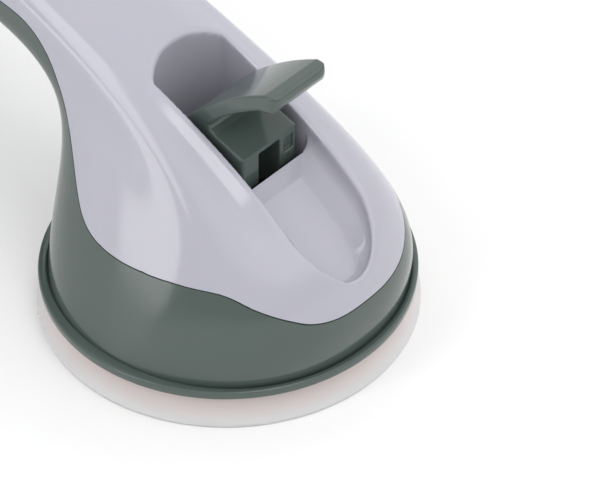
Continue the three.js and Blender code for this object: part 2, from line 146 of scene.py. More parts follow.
def section_of(x, z):
    """The cross-section through (x, z): position along it from -1 to 1, half length, half width, power."""
    x, z = np.broadcast_arrays(np.asarray(x, float), np.asarray(z, float))
    low = np.zeros(x.shape)
    high = np.ones(x.shape)
    for _ in range(7):                        # halves the bracket, then finishes with secant steps
        middle = (low + high) / 2
        beyond = cross_line(x, z, middle) > 0
        low = np.where(beyond, middle, low)
        high = np.where(beyond, high, middle)
    t0, t1 = low, high
    g0, g1 = cross_line(x, z, t0), cross_line(x, z, t1)
    for _ in range(4):
        change = g1 - g0
        safe = np.where(np.abs(change) < 1e-12, 1.0, change)
        t2 = np.where(np.abs(change) < 1e-12, t1, t1 - g1 * (t1 - t0) / safe)
        t2 = np.clip(t2, 0, 1)
        t0, g0 = t1, g1
        t1, g1 = t2, cross_line(x, z, t2)
    t = t1
    in_grip = x < NECK_X
    u = np.clip((x - NECK_X) / (-MID - NECK_X), 0, 1)
    ease = 2 * u - u * u
    t = np.where(in_grip, 1.0, t)
    crown_x = np.where(in_grip, x, bezier(CROWN_X, t))
    crown_z = bezier(CROWN_Z, t) + np.where(in_grip, arch_rise(CROWN_X, CROWN_Z) * ease, 0)
    under_x = np.where(in_grip, x, bezier(UNDER_X, t))
    under_z = bezier(UNDER_Z, t) + np.where(in_grip, arch_rise(UNDER_X, UNDER_Z) * ease, 0)
    reach_x, reach_z = (crown_x - under_x) / 2, (crown_z - under_z) / 2
    reach = np.hypot(reach_x, reach_z)
    along = ((x - (crown_x + under_x) / 2) * reach_x + (z - (crown_z + under_z) / 2) * reach_z) / reach ** 2
    power = ROUND + (SQUARISH - ROUND) * (2 * t - t * t)
    return along, reach, bezier(HALF_WIDTH, t), power


def body_field(x, y, z):
    """About the distance from the outer surface, whose cross-sections are |along|^p + |y / half|^p = 1."""
    along, reach, half, power = section_of(x, z)
    a = np.maximum(np.abs(along), 1e-6)
    b = np.maximum(np.abs(y) / half, 1e-6)
    total = a ** power + b ** power
    value = total ** (1 / power)
    common = total ** (1 / power - 1)
    slope = np.hypot(common * a ** (power - 1) / reach, common * b ** (power - 1) / half)
    return (value - 1) / np.maximum(slope, 1e-4)


def spline_table(points):
    """Dense (x, z) samples of a smooth curve through the points, with x rising."""
    p = np.array(points, float)
    padded = np.vstack([2 * p[0] - p[1], p, 2 * p[-1] - p[-2]])
    rows = []
    for i in range(1, len(padded) - 2):
        a, b, c, d = padded[i - 1:i + 3]
        for t in np.arange(0, 1, 0.05):
            rows.append(0.5 * (2 * b + (c - a) * t + (2 * a - 5 * b + 4 * c - d) * t * t
                               + (3 * b - a - 3 * c + d) * t ** 3))
    rows.append(p[-1])
    rows = np.array(rows)
    return rows[np.argsort(rows[:, 0])]


SEAM_TABLE = spline_table(SEAM)
SEAM_SLOPE = np.gradient(SEAM_TABLE[:, 1], SEAM_TABLE[:, 0])
SEAM_TURN = (10.0, 30.0)                      # over these x the joint comes round to face outwards


def seam_field(x, y, z, depth):
    """Distance above the parting line, depth being the distance from the skin. Round the bell's outer end
    the line's height is read at the skin, so that the joint faces stand square to the wall."""
    reach = np.maximum(np.hypot(x, y), 1.0)
    turn = np.clip((x - SEAM_TURN[0]) / (SEAM_TURN[1] - SEAM_TURN[0]), 0, 1)
    skin_x = x - np.clip(depth, -2 * WALL, 1) * turn * x / reach
    height = np.interp(skin_x, SEAM_TABLE[:, 0], SEAM_TABLE[:, 1])
    slope = np.interp(skin_x, SEAM_TABLE[:, 0], SEAM_SLOPE) * (1 - turn + turn * np.abs(y) / reach)
    return (z - height) / np.sqrt(1 + slope * slope)


def pocket_plan(x, y, grow=0.0):
    """Plan of the pocket: straight sides, a round outer end and a shallow arc that closes the inner end."""
    beyond = np.maximum(x - (POCKET_OUTER_X - POCKET_HALF), 0)
    sides = np.hypot(beyond, y) - POCKET_HALF
    centre = POCKET_INNER_X + POCKET_INNER_ROUND
    arc = np.where(x < centre, np.hypot(x - centre, y), 0) - POCKET_INNER_ROUND
    return soft_max(sides, arc, 0.4) - grow


def box_field(x, y, z, centre, half, rounding=0.0):
    q = [np.abs(v - c) - (h - rounding) for v, c, h in zip((x, y, z), centre, half)]
    outside = np.sqrt(sum(np.maximum(v, 0) ** 2 for v in q))
    return outside + np.minimum(np.maximum(np.maximum(q[0], q[1]), q[2]), 0) - rounding


def rod_field(x, y, z, centre, radius, z0, z1):
    return np.maximum(np.hypot(x - centre[0], y - centre[1]) - radius, np.maximum(z0 - z, z - z1))


# ---------- meshing a field ----------
CORNERS = [(i, j, k) for i in (0, 1) for j in (0, 1) for k in (0, 1)]


def gradient(field, p, e=0.02):
    steps = []
    for axis in range(3):
        d = np.zeros(3)
        d[axis] = e
        steps.append((field(*(p + d).T) - field(*(p - d).T)) / (2 * e))
    return np.array(steps).T


def unit(v):
    return v / np.maximum(np.linalg.norm(v, axis=-1, keepdims=True), 1e-9)


def grid_values(field, axes, slab=24):
    values = np.empty([len(a) for a in axes], np.float32)
    x, y, z = axes
    for i in range(0, len(x), slab):
        values[i:i + slab] = field(x[i:i + slab, None, None], y[None, :, None], z[None, None, :])
    return values


def crossings(field, start, step, va, vb):
    """Where the surface crosses the grid edges from start to start + step, whose ends have values va and vb.
    Closes in on each crossing from both sides."""
    t0, t1 = np.zeros(len(start)), np.ones(len(start))
    for _ in range(4):
        t = np.clip(t0 + (t1 - t0) * va / (va - vb), t0 + 0.05 * (t1 - t0), t1 - 0.05 * (t1 - t0))
        value = field(*(start + t[:, None] * step).T)
        same = (value < 0) == (va < 0)
        t0, va = np.where(same, t, t0), np.where(same, value, va)
        t1, vb = np.where(same, t1, t), np.where(same, vb, value)
    t = t0 + (t1 - t0) * va / (va - vb)
    return start + t[:, None] * step


PULL = 0.03                                   # how strongly a cell's point is held to the middle
SHARP_BELOW = 0.97                            # the mean normal is shorter in a cell that holds an edge


def plane_fit(moments, facing):
    """The point of each cell that best fits its planes, and whether the cell holds a sharp edge."""
    m = moments
    count = m[:, 12:13]
    centre = m[:, 9:12] / count
    product = np.stack([m[:, [0, 3, 5]], m[:, [3, 1, 4]], m[:, [5, 4, 2]]], axis=1)
    pull = PULL * count[:, :, None] * np.eye(3)
    right = m[:, 6:9] - (product @ centre[:, :, None])[:, :, 0]
    sharp = np.linalg.norm(facing, axis=1) / count[:, 0] < SHARP_BELOW
    gentle = np.linalg.solve(product + pull, right[:, :, None])[:, :, 0]
    strong = np.linalg.solve(product + 0.1 * pull, right[:, :, None])[:, :, 0]
    return centre + np.where(sharp[:, None], strong, gentle), sharp


def onto_surface(field, p, longest):
    """Moves points on to the surface in two steps, neither longer than the given length."""
    for _ in range(2):
        g = gradient(field, p)
        move = -(field(*p.T) / np.maximum((g * g).sum(1), 0.05))[:, None] * g
        length = np.linalg.norm(move, axis=1)[:, None]
        p = p + move * np.minimum(1, longest / np.maximum(length, 1e-9))
    return p


def onto_edge(first, second, p):
    """Moves points on to the curve where two fields are both zero, by the shortest way."""
    for _ in range(3):
        a, b = first(*p.T), second(*p.T)
        ga, gb = gradient(first, p), gradient(second, p)
        aa, bb, ab = (ga * ga).sum(1), (gb * gb).sum(1), (ga * gb).sum(1)
        spread = np.maximum(aa * bb - ab * ab, 0.02)
        p = p - ((a * bb - b * ab) / spread)[:, None] * ga - ((b * aa - a * ab) / spread)[:, None] * gb
    return p


def mesh_of(field, low, high, cell, edge_fields=None):
    """(points, quads) of the zero surface of a field: one point per grid cell that the surface crosses.
    Each point is fitted to the tangent planes where the surface meets the cell's edges, so that sharp
    edges and corners come out sharp. Points by the edge where both edge_fields are zero are put on it."""
    axes = [np.arange(a, b + cell, cell) for a, b in zip(low, high)]
    values = grid_values(field, axes)
    inside = values < 0
    n = [len(a) - 1 for a in axes]
    count = sum(inside[i:i + n[0], j:j + n[1], k:k + n[2]].astype(np.int8) for i, j, k in CORNERS)
    cells = np.argwhere((count > 0) & (count < 8))
    index = np.full(n, -1, np.int64)
    index[tuple(cells.T)] = np.arange(len(cells))
    # for each cell's plane fit: 6 products, 3 right-hand sides, the sum of its points and their count
    moments = np.zeros((len(cells), 13))
    facing = np.zeros((len(cells), 3))
    quads = []
    origin = np.array([a[0] for a in axes])
    for axis in range(3):
        u, v = (axis + 1) % 3, (axis + 2) % 3
        first = [slice(None)] * 3
        second = [slice(None)] * 3
        first[axis], second[axis] = slice(0, -1), slice(1, None)
        a_in, b_in = inside[tuple(first)], inside[tuple(second)]
        edges = np.argwhere(a_in != b_in)
        step = np.eye(3, dtype=int)[axis]
        start = origin + edges * cell
        va = values[tuple(edges.T)].astype(float)
        vb = values[tuple((edges + step).T)].astype(float)
        points = crossings(field, start, cell * step, va, vb)
        normals = unit(gradient(field, points))
        offset = (normals * points).sum(1)
        row = np.column_stack([normals[:, 0] ** 2, normals[:, 1] ** 2, normals[:, 2] ** 2,
                               normals[:, 0] * normals[:, 1], normals[:, 1] * normals[:, 2],
                               normals[:, 0] * normals[:, 2], normals * offset[:, None], points,
                               np.ones(len(points))])
        ring = []
        for du, dv in ((-1, -1), (0, -1), (0, 0), (-1, 0)):
            at = edges.copy()
            at[:, u] += du
            at[:, v] += dv
            number = index[tuple(at.T)]
            for column in range(13):
                moments[:, column] += np.bincount(number, row[:, column], len(cells))
            for column in range(3):
                facing[:, column] += np.bincount(number, normals[:, column], len(cells))
            ring.append(number)
        ring = np.array(ring).T
        outward = inside[tuple(edges.T)]
        quads.append(np.where(outward[:, None], ring, ring[:, ::-1]))
    best, sharp = plane_fit(moments, facing)
    low_corner = origin + cells * cell
    points = np.clip(best, low_corner - 0.1 * cell, low_corner + 1.1 * cell)
    if edge_fields:
        first, second = edge_fields
        by_edge = sharp & (np.abs(first(*points.T)) < 0.8 * cell) & (np.abs(second(*points.T)) < 0.8 * cell)
        corner = low_corner[by_edge]
        moved = onto_edge(first, second, points[by_edge])
        points[by_edge] = np.clip(moved, corner - 0.25 * cell, corner + 1.25 * cell)
    points[~sharp] = onto_surface(field, points[~sharp], 0.3 * cell)
    return points, np.vstack(quads)


def collection_add(name, mesh):
    obj = bpy.data.objects.new(name, mesh)
    bpy.context.scene.collection.objects.link(obj)
    return obj


def object_of(name, points, quads, normals=None):
    """A Blender object from points in millimetres in the row frame, with corner normals if given."""
    mesh = bpy.data.meshes.new(name)
    mesh.vertices.add(len(points))
    mesh.vertices.foreach_set("co", (points * MM).astype(np.float32).ravel())
    mesh.loops.add(quads.size)
    mesh.loops.foreach_set("vertex_index", quads.astype(np.int32).ravel())
    mesh.polygons.add(len(quads))
    mesh.polygons.foreach_set("loop_start", np.arange(0, quads.size, quads.shape[1], dtype=np.int32))
    mesh.polygons.foreach_set("use_smooth", np.ones(len(quads), bool))
    mesh.update(calc_edges=True)
    mesh.validate()
    if normals is not None and len(mesh.loops) == len(normals):
        mesh.normals_split_custom_set(normals.tolist())
    return collection_add(name, mesh)


def corner_normals(field, points, quads):
    """Smooth normals from the field. Beside a sharp edge they are read a little way into each face."""
    centre = points[quads].mean(1)
    across = points[quads[:, 2]] - points[quads[:, 0]]
    along = points[quads[:, 3]] - points[quads[:, 1]]
    flat = unit(np.cross(across, along))
    result = unit(gradient(field, points))[quads]
    off = (result * flat[:, None, :]).sum(2) < 0.94
    inward = (0.6 * points[quads] + 0.4 * centre[:, None, :])[off]
    if len(inward):
        g = unit(gradient(field, inward))
        face = np.broadcast_to(flat[:, None, :], result.shape)[off]
        good = (g * face).sum(1) > 0.8
        result[off] = np.where(good[:, None], g, face)
    return result.reshape(-1, 3)


def both_ends(local_field):
    """A field in end coordinates, laid out at both ends of the row frame."""
    return lambda x, y, z: local_field(np.abs(x) - MID, y, z - FLANGE_Z)


# ---------- shells ----------
# Thumb relief: its start and height there, its end, half width, fall along x and rise of its sides.
PAD = {"inner_x": 19.3, "inner_z": 37.6, "outer_x": 42.1, "half": 7.2, "slope": 0.705, "rise": 1.05}
PAD_INNER_SPREAD = 0.65                       # the side next to the well is steeper than the others
RIM_ROUND = 1.9
FLOOR_ROUND = 1.6                             # where the pocket's sides meet its floor
STEP_ROUND = 0.7                              # at the step from the relief down to the well
SHARP = 0.01                                  # for the back of the tub, which isn't seen


def relief_floor(x, y):
    """Height of the thumb relief: a flat sloping pad, with sides that rise from it all round."""
    centre = PAD["outer_x"] - PAD["half"]
    sides = np.hypot(np.maximum(x - centre, 0), y) - PAD["half"]
    inner = (PAD["inner_x"] - x) / PAD_INNER_SPREAD
    away = soft_max(soft_max(sides, inner, 0.5), 0, 0.3)
    return PAD["inner_z"] - PAD["slope"] * (x - PAD["inner_x"]) + PAD["rise"] * away


def pocket_air(x, y, z, grow=0.0, lower=0.0):
    """The pocket's open space: the deep well, the step up and the thumb relief."""
    floor = (relief_floor(x, y) - lower * SIDE_SLOPE - z) / SIDE_SLOPE
    well = np.maximum(WELL_FLOOR_Z - lower - z, x - WELL_FRONT_X - lower)
    bottom = soft_min(well, floor, STEP_ROUND)
    return soft_max(pocket_plan(x, y, grow), bottom, SHARP if grow else FLOOR_ROUND)


LUG_X, LUG_Y, LUG_Z0, LUG_Z1 = 10.0, 28.5, 17.0, 20.0
LUG_MIDDLE_Y = 35.0
LUG_HALF = (5.0, 10.0, 1.5)
UNDER_SKIN = 0.5                              # bosses and lugs stop this far below the outer surface
BOSS_RADIUS = 4.0
GRIP_SCREW_X = 26.0
GRIP_SEAT_TOP = 65.5
GRIP_SEAT_LOW = 54.0
GRIP_SEAT_RADIUS = 4.8
GRIP_COUNTER = 61.5                           # top of the wide part of the grip screw's hole
HOLE_RADIUS = 1.7
HEAD_HOLE_RADIUS = 3.3
BELOW_GRIP = 40.0                             # under the grip, where its screw holes begin
HOLE_DEPTH = 11.0                             # how far a screw hole goes into its boss
GAP = 0.3                                     # between a boss and its seat
TALL = 90.0                                   # above everything, for what is then cut to the skin
STEM_CLEAR = 0.7                              # all round the post where it passes the well's floor
WALL_END_Z = FLANGE_THICK / 3                 # the wall goes this far down into the flange ring


def screw_holes(x, y, z):
    """Holes for the screws of both bells and the grip."""
    bell = rod_field(x, np.abs(y), z, (LUG_X, LUG_Y), HOLE_RADIUS, 0, LUG_Z1 + HOLE_DEPTH)
    grip_x = x + MID - GRIP_SCREW_X
    grip = rod_field(grip_x, y, z, (0, 0), HOLE_RADIUS, BELOW_GRIP, GRIP_SEAT_TOP + HOLE_DEPTH)
    return np.minimum(bell, grip)


def upper_field(x, y, z):
    """Skin above the joint, the tub round the pocket and the screw bosses, less the post's hole."""
    d = body_field(x, y, z)
    above = seam_field(x, y, z, d) - SEAM_GAP
    skin = np.maximum(np.maximum(d, -(d + WALL)), -above)
    tub = np.maximum(pocket_air(x, y, z, TUB_WALL, TUB_WALL), d)
    tub = np.maximum(tub, np.minimum(-above, d + WALL + GAP))
    boss = rod_field(x, np.abs(y), z, (LUG_X, LUG_Y), BOSS_RADIUS, LUG_Z1 + GAP, TALL)
    grip_x = x + MID - GRIP_SCREW_X
    grip = rod_field(grip_x, y, z, (0, 0), BOSS_RADIUS, GRIP_SEAT_TOP + GAP, TALL)
    boss, grip = np.maximum(boss, d + UNDER_SKIN), np.maximum(grip, d + UNDER_SKIN)
    bosses = np.maximum(np.minimum(boss, grip), -screw_holes(x, y, z))
    solid = np.minimum(np.minimum(skin, tub), bosses)
    hole = STEM_HALF + STEM_CLEAR
    stem = box_field(x, y, z, (0, 0, WELL_FLOOR_Z), (hole, hole, 2.5 * TUB_WALL))
    return np.maximum(soft_max(solid, -pocket_air(x, y, z), RIM_ROUND), -stem)


def lower_field(x, y, z):
    """Skin below the joint with the bell's screw lugs and the grip's screw seat."""
    d = body_field(x, y, z)
    above = seam_field(x, y, z, d) + SEAM_GAP
    skin = np.maximum(np.maximum(np.maximum(d, -(d + WALL)), above), WALL_END_Z - z)
    lug = box_field(x, np.abs(y), z, (LUG_X, LUG_MIDDLE_Y, (LUG_Z0 + LUG_Z1) / 2), LUG_HALF)
    lug = np.maximum(lug, d + UNDER_SKIN)
    grip_x = x + MID - GRIP_SCREW_X
    seat = rod_field(grip_x, y, z, (0, 0), GRIP_SEAT_RADIUS, GRIP_SEAT_LOW, GRIP_SEAT_TOP)
    seat = np.maximum(seat, d)
    solid = np.minimum(skin, np.minimum(lug, seat))
    counter = rod_field(grip_x, y, z, (0, 0), HEAD_HOLE_RADIUS, BELOW_GRIP, GRIP_COUNTER)
    return soft_max(np.maximum(solid, -screw_holes(x, y, z)), -counter, 0.5)


CELL = 0.92


def build_shell(name, node, local_field, joint_shift):
    """One shell over the whole length, its joint edge placed exactly."""
    node_low, node_high = size_mm(node)
    field = both_ends(local_field)
    joint = both_ends(lambda x, y, z: seam_field(x, y, z, body_field(x, y, z)) + joint_shift)
    margin = 2 * CELL
    reach = SHELL_HIGH[0] + margin
    low = (-reach, -FLANGE_RADIUS - margin, node_low[2] - margin)
    high = (reach, FLANGE_RADIUS + margin, node_high[2] + margin)
    points, quads = mesh_of(field, low, high, CELL, (both_ends(body_field), joint))
    return object_of(name, points, quads, corner_normals(field, points, quads))


# ---------- lever ----------
HEEL = np.array((-5.5, 53.2))                 # the two ends of the plate's upper face
TIP = np.array((24.9, 77.1))
TIP_END = 25.9
TIP_CORNER = 3.2                              # rounding of the tip in plan
# Points round the tip, from the upper face to the lower.
NOSE = ((24.6, 75.9), (25.6, 75.0), (TIP_END, 73.4), (24.7, 71.2))
PLATE_THICK = 4.2
PLATE_ARCH = 2.2
BLOCK = {"front": 15.0, "inner_x": 5.5, "inner_z": 54.0, "front_z": 51.0}
WEAR_THICK = 2.0
CAM_START = PIVOT_Z - WELL_FLOOR_Z - WEAR_THICK
CAM_CLEAR = 0.65
# Corners of the block, as degrees round the pivot and radius: the lower front one, then the back.
BLOCK_CORNER = (-10, 17.2)
BLOCK_BACK = ((-120, 11.0), (-150, 8.0), (180, 6.8), (150, 7.6))
SLOT_HALF = STEM_HALF + 0.4
SLOT_TOP = PIVOT_Z + 6


def plate_point(along, depth):
    """A point on the arched plate: along it from heel to tip, and depth below its upper face."""
    run = TIP - HEEL
    normal = np.array((run[1], -run[0])) / np.hypot(*run)
    return HEEL + run * along + normal * (depth - 4 * PLATE_ARCH * along * (1 - along))


def around_pivot(degrees, radius):
    a = math.radians(degrees)
    return np.array((PIVOT_X + radius * math.cos(a), PIVOT_Z + radius * math.sin(a)))


def lever_outline():
    """Side view: arched plate above, block with its spiral cam below."""
    points = [plate_point(0.92 * i / 40, 0) for i in range(41)]
    points += [np.array(p) for p in NOSE]
    points += [plate_point(i / 50, PLATE_THICK) for i in range(40, 19, -1)]
    points += [np.array((BLOCK["inner_x"] - 2.0, BLOCK["inner_z"] + 2.2)),
               np.array((BLOCK["inner_x"] - 1.6, BLOCK["inner_z"] + 0.9)),
               np.array((BLOCK["inner_x"], BLOCK["inner_z"])),
               np.array((BLOCK["front"], BLOCK["front_z"]))]
    points.append(around_pivot(*BLOCK_CORNER))
    for degrees in np.arange(-15, -95.1, -5):
        points.append(around_pivot(degrees, CAM_START - CAM_CLEAR + LIFT * (degrees + 90) / LEVER_ANGLE))
    points += [around_pivot(degrees, radius) for degrees, radius in BLOCK_BACK]
    return np.array(points)


LEVER_POLYGON = lever_outline()


def polygon_field(x, z, polygon):
    x, z = np.broadcast_arrays(np.asarray(x, float), np.asarray(z, float))
    nearest = np.full(x.shape, 1e9)
    inside = np.zeros(x.shape, bool)
    for a, b in zip(polygon, np.roll(polygon, -1, axis=0)):
        ex, ez = b - a
        wx, wz = x - a[0], z - a[1]
        t = np.clip((wx * ex + wz * ez) / (ex * ex + ez * ez), 0, 1)
        nearest = np.minimum(nearest, (wx - ex * t) ** 2 + (wz - ez * t) ** 2)
        crosses = (a[1] > z) != (b[1] > z)
        if ez != 0:
            inside ^= crosses & (wx < ex * wz / ez)
    return np.where(inside, -1, 1) * np.sqrt(nearest)


def lever_field(x, y, z):
    side = polygon_field(x, z, LEVER_POLYGON)
    blank = soft_max(side, np.abs(y) - LEVER_HALF, 1.3)
    qx, qy = x - (TIP_END - TIP_CORNER), np.abs(y) - (LEVER_HALF - TIP_CORNER)
    plan = np.hypot(np.maximum(qx, 0), np.maximum(qy, 0)) + np.minimum(np.maximum(qx, qy), 0) - TIP_CORNER
    blank = soft_max(blank, plan, 0.8)
    slot = box_field(x, y, z, (0, 0, SLOT_TOP - 20), (30, SLOT_HALF, 20), 0.3)
    panel = box_field(x, y, z, (BLOCK["front"] + 4, SLOT_HALF + 3.3, SLOT_TOP - 3.2), (5, 1.7, 2.2), 0.3)
    bore = np.hypot(x - PIVOT_X, z - PIVOT_Z) - (PIN_RADIUS + 0.3)
    hole = np.minimum(np.minimum(slot, panel), bore)
    return soft_max(blank, -hole, 0.45)


LEVER_CELL = 0.36


def build_lever(end):
    """Lever at end +1 or -1. The panel beside its slot is mirrored with it."""
    margin = 2 * LEVER_CELL
    low = LEVER_LOW - margin
    high = LEVER_HIGH + margin

    def field(x, y, z):
        return lever_field(x * end - MID, y, z - FLANGE_Z)

    if end < 0:
        low[0], high[0] = -high[0], -low[0]
    points, quads = mesh_of(field, low, high, LEVER_CELL)
    return object_of("lever_fine_" + LETTER[end], points, quads, corner_normals(field, points, quads))


# ---------- turned and swept pieces ----------
def closed_body(name, points, faces):
    """A smooth object from points in millimetres, with its faces turned outwards."""
    mesh = bpy.data.meshes.new(name)
    mesh.from_pydata([tuple(np.array(p) * MM) for p in points], [], faces)
    mesh.polygons.foreach_set("use_smooth", np.ones(len(faces), bool))
    mesh.update()
    obj = collection_add(name, mesh)
    b = bmesh.new()
    b.from_mesh(mesh)
    bmesh.ops.recalc_face_normals(b, faces=b.faces)
    b.to_mesh(mesh)
    b.free()
    return obj


def rounded_profile(points, closed=False):
    """Cuts the corners of a profile twice. An open profile keeps its two end points."""
    p = [np.array(q, float) for q in points]
    for _ in range(2):
        new = [] if closed else [p[0]]
        for a, b in zip(p if closed else p[:-1], p[1:] + p[:1] if closed else p[1:]):
            new += [a * 0.78 + b * 0.22, a * 0.22 + b * 0.78]
        p = new if closed else new + [p[-1]]
    return p


def turned(name, profile, centre, closed=False, segments=192):
    """A body turned about a vertical axis from (radius, z) points. A closed profile is a ring's section; an
    open one starts and ends on the axis. A radius may be an array with one value for each segment."""
    angles = np.linspace(0, 2 * math.pi, segments, endpoint=False)
    points, rows = [], []
    for radius, z in profile:
        radii = np.broadcast_to(radius, segments)
        if radii.max() < 1e-6:
            rows.append([len(points)] * segments)
            points.append((centre[0], centre[1], z))
        else:
            rows.append(list(range(len(points), len(points) + segments)))
            points += [(centre[0] + r * math.cos(a), centre[1] + r * math.sin(a), z)
                       for r, a in zip(radii, angles)]
    faces = []
    pairs = list(zip(rows[:-1], rows[1:])) + ([(rows[-1], rows[0])] if closed else [])
    for low, high in pairs:
        for j in range(segments):
            k = (j + 1) % segments
            face = [low[j], low[k], high[k], high[j]]
            face = [v for n, v in enumerate(face) if v not in face[:n]]     # a triangle at the axis
            if len(face) > 2:
                faces.append(face)
    return closed_body(name, points, faces)


FLANGE_EDGE = 0.6                             # rounding of the rim's upper edge
FLANGE_LOWER_EDGE = 0.5
GROOVE_WIDE = 0.75
GROOVE_DEEP = 0.9


def wall_radii(end, z, segments):
    """Distance from the cup axis to the bell's wall at height z, all the way round."""
    angles = np.linspace(0, 2 * math.pi, segments, endpoint=False)
    inside, outside = np.full(segments, 40.0), np.full(segments, FLANGE_RADIUS)
    for _ in range(20):
        middle = (inside + outside) / 2
        within = body_field(end * middle * np.cos(angles), middle * np.sin(angles), np.full(segments, z)) < 0
        inside = np.where(within, middle, inside)
        outside = np.where(within, outside, middle)
    return inside


def build_flange(end):
    """The rim round the bottom of a bell: rounded outer edges and a narrow groove beside the wall."""
    segments = 288
    wall = wall_radii(end, FLANGE_THICK, segments)
    profile = [(FLANGE_INNER, 0)]
    corners = ((FLANGE_LOWER_EDGE, FLANGE_LOWER_EDGE, -90), (FLANGE_EDGE, FLANGE_THICK - FLANGE_EDGE, 0))
    for edge, middle_z, first in corners:
        for degrees in range(first, first + 91, 15):
            a = math.radians(degrees)
            profile.append((FLANGE_RADIUS - edge + edge * math.cos(a), middle_z + edge * math.sin(a)))
    floor = FLANGE_THICK - GROOVE_DEEP
    profile += [(wall + GROOVE_WIDE, FLANGE_THICK), (wall + 0.5, FLANGE_THICK - 0.15),
                (wall + 0.4, floor + 0.1), (wall - 0.5, floor), (FLANGE_INNER, floor)]
    raised = [(r, FLANGE_Z + z) for r, z in profile]
    return turned("flange_" + LETTER[end], raised, (end * MID, 0), True, segments)


MEMBRANE_RADIUS = 43.6


def build_cup(end):
    """The soft cup as two pieces: a skirt that stays on the wall and a membrane inside it, both kept on the
    housing.
    """
    centre = (end * MID, 0)
    top = CUP_HIGH[2]
    rim = CUP_RADIUS
    outer = rounded_profile([(MEMBRANE_RADIUS, 0.0), (rim - 0.4, 0.0), (rim, 0.35), (rim - 0.15, 1.1),
                             (rim - 1.2, 2.6), (rim - 2.3, 5.4), (rim - 2.8, top), (45.0, top), (44.4, 6.2),
                             (MEMBRANE_RADIUS, 4.9)], closed=True)
    skirt = turned("cup_skirt_" + LETTER[end], outer, centre, True)
    low, high = 2.0, 4.7
    edge = MEMBRANE_RADIUS - 0.15
    sheet = rounded_profile([(0, 0.5), (20, 0.5), (34, 1.0), (edge, low), (edge, high), (34, 3.7), (20, 3.2),
                             (0, 3.2)])
    membrane = turned("cup_membrane_" + LETTER[end], sheet, centre)
    return skirt, membrane


def build_spring(end):
    """A round wire wound into a helix with capped ends."""
    low, high = size_mm("return_spring_" + LETTER[end])
    centre = (low + high) / 2
    wire, turns, per_turn, sides = 0.7, 5, 40, 12
    radius = (high[0] - low[0]) / 2 - wire
    count = turns * per_turn
    points = []
    for i in range(count + 1):
        turn = i / per_turn * 2 * math.pi
        z = low[2] + wire + (high[2] - low[2] - 2 * wire) * i / count
        for j in range(sides):
            a = j / sides * 2 * math.pi
            r = radius + wire * math.cos(a)
            height = z + wire * math.sin(a)
            points.append((centre[0] + r * math.cos(turn), centre[1] + r * math.sin(turn), height))
    faces = []
    for i in range(count):
        for j in range(sides):
            a, b = i * sides + j, i * sides + (j + 1) % sides
            faces.append((a, b, b + sides, a + sides))
    faces += [tuple(range(sides)), tuple(count * sides + j for j in range(sides))]
    return closed_body("spring_fine_" + LETTER[end], points, faces)


# ---------- materials ----------
def new_material(name, colour, roughness):
    m = bpy.data.materials.new(name)
    m.use_nodes = True
    nodes, links = m.node_tree.nodes, m.node_tree.links
    shader = nodes["Principled BSDF"]
    shader.inputs["Base Color"].default_value = (*colour, 1)
    shader.inputs["Roughness"].default_value = roughness
    return m, nodes, links, shader


def texture_coords(nodes):
    return nodes.new("ShaderNodeTexCoord").outputs["Object"]


def noise(nodes, links, scale, detail=4.0, rough=0.5):
    node = nodes.new("ShaderNodeTexNoise")
    node.inputs["Scale"].default_value = scale
    node.inputs["Detail"].default_value = detail
    node.inputs["Roughness"].default_value = rough
    links.new(texture_coords(nodes), node.inputs["Vector"])
    return node.outputs["Fac"]


def ramp_between(nodes, links, factor, low, high, start=0.3, end=0.7):
    node = nodes.new("ShaderNodeMapRange")
    node.inputs["From Min"].default_value = start
    node.inputs["From Max"].default_value = end
    node.inputs["To Min"].default_value = low
    node.inputs["To Max"].default_value = high
    links.new(factor, node.inputs["Value"])
    return node.outputs["Result"]


def colour_between(nodes, links, factor, a, b):
    node = nodes.new("ShaderNodeMix")
    node.data_type = "RGBA"
    node.inputs["A"].default_value = (*a, 1)
    node.inputs["B"].default_value = (*b, 1)
    links.new(factor, node.inputs["Factor"])
    return node.outputs["Result"]


def add_bump(nodes, links, shader, height, strength, distance):
    bump = nodes.new("ShaderNodeBump")
    bump.inputs["Strength"].default_value = strength
    bump.inputs["Distance"].default_value = distance
    links.new(height, bump.inputs["Height"])
    links.new(bump.outputs["Normal"], shader.inputs["Normal"])


def moulded_plastic(name, colour, warm, roughness):
    """Glossy moulded plastic: faint colour drift, uneven gloss and the slight waviness of a moulding."""
    m, nodes, links, shader = new_material(name, colour, roughness)
    broad = noise(nodes, links, 18, 3)
    fine = noise(nodes, links, 900, 5, 0.6)
    drift = ramp_between(nodes, links, broad, 0, 1)
    gloss = ramp_between(nodes, links, fine, roughness * 0.85, roughness * 1.2)
    links.new(colour_between(nodes, links, drift, colour, warm), shader.inputs["Base Color"])
    links.new(gloss, shader.inputs["Roughness"])
    add_bump(nodes, links, shader, fine, 0.05, 0.00005)
    shader.inputs["Specular IOR Level"].default_value = 0.5
    shader.inputs["Subsurface Weight"].default_value = 0.06
    shader.inputs["Subsurface Scale"].default_value = 0.002
    return m


CUP_PALE = (0.68, 0.645, 0.645)
# painted shade: the darker, warmer colour of the cup where it goes up under the flange
CUP_UNDER_FLANGE_SHADE = (0.58, 0.485, 0.46)


